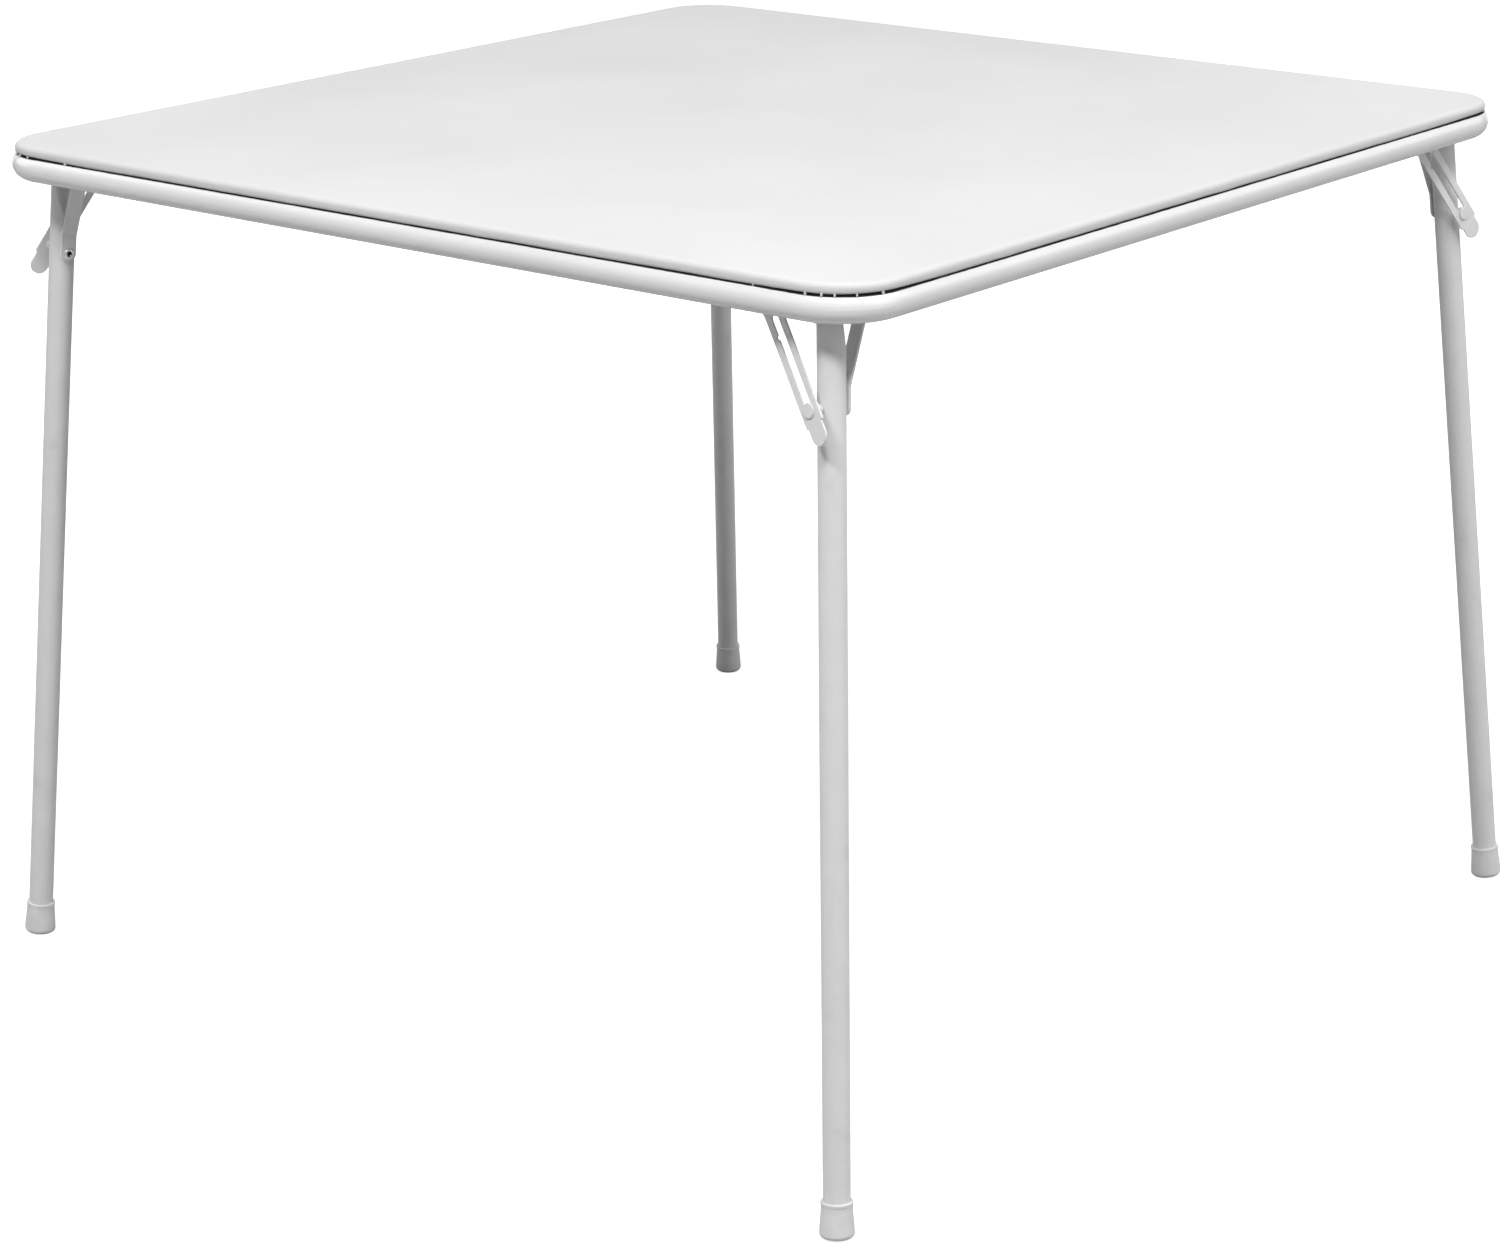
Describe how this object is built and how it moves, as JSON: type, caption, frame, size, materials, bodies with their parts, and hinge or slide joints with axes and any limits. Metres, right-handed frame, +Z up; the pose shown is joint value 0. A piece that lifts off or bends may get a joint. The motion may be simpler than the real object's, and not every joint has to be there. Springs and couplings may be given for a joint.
{
  "type": "folding card table",
  "caption": "Square folding card table: padded vinyl top in a round tube rim, splayed tubular legs with slotted lock arms and rubber foot caps.",
  "frame": {"origin": "on the floor, under the middle of the top", "axes": "+Z up; X and Y along the top's sides, with the front corner of the picture at +X -Y"},
  "size_m": [0.9306, 0.9306, 0.674],
  "materials": {
    "rail_paint": "gloss",
    "leg_paint": "satin",
    "stud_paint": "satin",
    "zinc": "bright zinc",
    "staple_steel": "bright",
    "cap_rubber": "matt",
    "vinyl": "fine grained vinyl",
    "hardboard": "pressed",
    "foam": "open cell"
  },
  "bodies": {
    "top": {"rim_tube": "rail_paint", "top_board": "hardboard", "foam_pad": "foam", "vinyl_cover": "vinyl", "cover_staples": "staple_steel", "board_screws": "zinc", "front_corner_bracket": "rail_paint", "front_hinge_pin": "zinc", "front_arm_rivet": "zinc", "left_corner_bracket": "rail_paint", "left_hinge_pin": "zinc", "left_arm_rivet": "zinc", "back_corner_bracket": "rail_paint", "back_hinge_pin": "zinc", "back_arm_rivet": "zinc", "right_corner_bracket": "rail_paint", "right_hinge_pin": "zinc", "right_arm_rivet": "zinc"},
    "front_leg_body": {"front_leg": "leg_paint", "front_foot_cap": "cap_rubber", "front_leg_strap": "leg_paint", "front_leg_rivet": "zinc", "front_hinge_sleeve": "zinc"},
    "front_arm_body": {"front_lock_arm": "leg_paint"},
    "front_stud_body": {"front_lock_stud": "stud_paint"},
    "left_leg_body": {"left_leg": "leg_paint", "left_foot_cap": "cap_rubber", "left_leg_strap": "leg_paint", "left_leg_rivet": "zinc", "left_hinge_sleeve": "zinc"},
    "left_arm_body": {"left_lock_arm": "leg_paint"},
    "left_stud_body": {"left_lock_stud": "stud_paint"},
    "back_leg_body": {"back_leg": "leg_paint", "back_foot_cap": "cap_rubber", "back_leg_strap": "leg_paint", "back_leg_rivet": "zinc", "back_hinge_sleeve": "zinc"},
    "back_arm_body": {"back_lock_arm": "leg_paint"},
    "back_stud_body": {"back_lock_stud": "stud_paint"},
    "right_leg_body": {"right_leg": "leg_paint", "right_foot_cap": "cap_rubber", "right_leg_strap": "leg_paint", "right_leg_rivet": "zinc", "right_hinge_sleeve": "zinc"},
    "right_arm_body": {"right_lock_arm": "leg_paint"},
    "right_stud_body": {"right_lock_stud": "stud_paint"}
  },
  "joints": [
    {"name": "front_leg_hinge", "type": "hinge", "parent": "top", "child": "front_leg_body", "pos_m": [0.3834, -0.39643, 0.6466], "axis": [0.2295, 0.9709, -0.0691], "range_deg": [0, 95]},
    {"name": "front_arm_hinge", "type": "hinge", "parent": "top", "child": "front_arm_body", "pos_m": [0.34309, -0.38699, 0.6453], "axis": [0.2295, 0.9709, -0.0691], "range_deg": [0, 130.74]},
    {"name": "front_stud_slide", "type": "slide", "parent": "front_arm_body", "child": "front_stud_body", "axis": [-0.5771, 0.1929, 0.7936], "range_m": [0, 0.05565]},
    {"name": "left_leg_hinge", "type": "hinge", "parent": "top", "child": "left_leg_body", "pos_m": [-0.39643, -0.3834, 0.6466], "axis": [0.9709, -0.2295, -0.0691], "range_deg": [0, 95]},
    {"name": "left_arm_hinge", "type": "hinge", "parent": "top", "child": "left_arm_body", "pos_m": [-0.38699, -0.34309, 0.6453], "axis": [0.9709, -0.2295, -0.0691], "range_deg": [0, 130.74]},
    {"name": "left_stud_slide", "type": "slide", "parent": "left_arm_body", "child": "left_stud_body", "axis": [0.1929, 0.5771, 0.7936], "range_m": [0, 0.05565]},
    {"name": "back_leg_hinge", "type": "hinge", "parent": "top", "child": "back_leg_body", "pos_m": [-0.3834, 0.39643, 0.6466], "axis": [-0.2295, -0.9709, -0.0691], "range_deg": [0, 95]},
    {"name": "back_arm_hinge", "type": "hinge", "parent": "top", "child": "back_arm_body", "pos_m": [-0.34309, 0.38699, 0.6453], "axis": [-0.2295, -0.9709, -0.0691], "range_deg": [0, 130.74]},
    {"name": "back_stud_slide", "type": "slide", "parent": "back_arm_body", "child": "back_stud_body", "axis": [0.5771, -0.1929, 0.7936], "range_m": [0, 0.05565]},
    {"name": "right_leg_hinge", "type": "hinge", "parent": "top", "child": "right_leg_body", "pos_m": [0.39643, 0.3834, 0.6466], "axis": [-0.9709, 0.2295, -0.0691], "range_deg": [0, 95]},
    {"name": "right_arm_hinge", "type": "hinge", "parent": "top", "child": "right_arm_body", "pos_m": [0.38699, 0.34309, 0.6453], "axis": [-0.9709, 0.2295, -0.0691], "range_deg": [0, 130.74]},
    {"name": "right_stud_slide", "type": "slide", "parent": "right_arm_body", "child": "right_stud_body", "axis": [-0.1929, -0.5771, 0.7936], "range_m": [0, 0.05565]}
  ],
  "couplings": [
    {"joint": "front_arm_hinge", "follows": "front_leg_hinge", "ratio": 1.3761},
    {"joint": "front_stud_slide", "follows": "front_leg_hinge", "m_per_rad": 0.033564},
    {"joint": "left_arm_hinge", "follows": "left_leg_hinge", "ratio": 1.3761},
    {"joint": "left_stud_slide", "follows": "left_leg_hinge", "m_per_rad": 0.033564},
    {"joint": "back_arm_hinge", "follows": "back_leg_hinge", "ratio": 1.3761},
    {"joint": "back_stud_slide", "follows": "back_leg_hinge", "m_per_rad": 0.033564},
    {"joint": "right_arm_hinge", "follows": "right_leg_hinge", "ratio": 1.3761},
    {"joint": "right_stud_slide", "follows": "right_leg_hinge", "m_per_rad": 0.033564}
  ]
}
